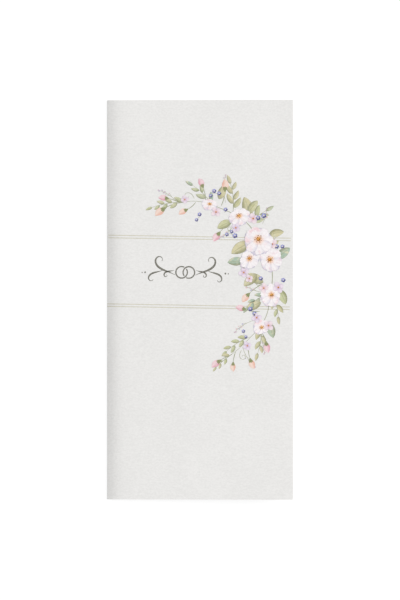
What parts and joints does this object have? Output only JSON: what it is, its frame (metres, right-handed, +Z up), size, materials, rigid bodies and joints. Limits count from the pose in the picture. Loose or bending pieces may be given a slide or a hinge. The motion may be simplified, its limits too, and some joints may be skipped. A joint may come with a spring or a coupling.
{
  "type": "wedding card",
  "caption": "Tall slim folded greeting card, creased down its left side and lying shut on its back panel, with a light floral front for a wedding.",
  "frame": {"origin": "middle of the closed card's outline, on the plane that its back panel lies on", "axes": "+Z up out of the front cover, +Y from the foot of the card to its top, +X from the fold to the free edge"},
  "size_m": [0.1, 0.215, 0.0072],
  "materials": {
    "paper": "matt off-white felt-marked card"
  },
  "bodies": {
    "root": {"folded_card": "paper"}
  },
  "joints": []
}
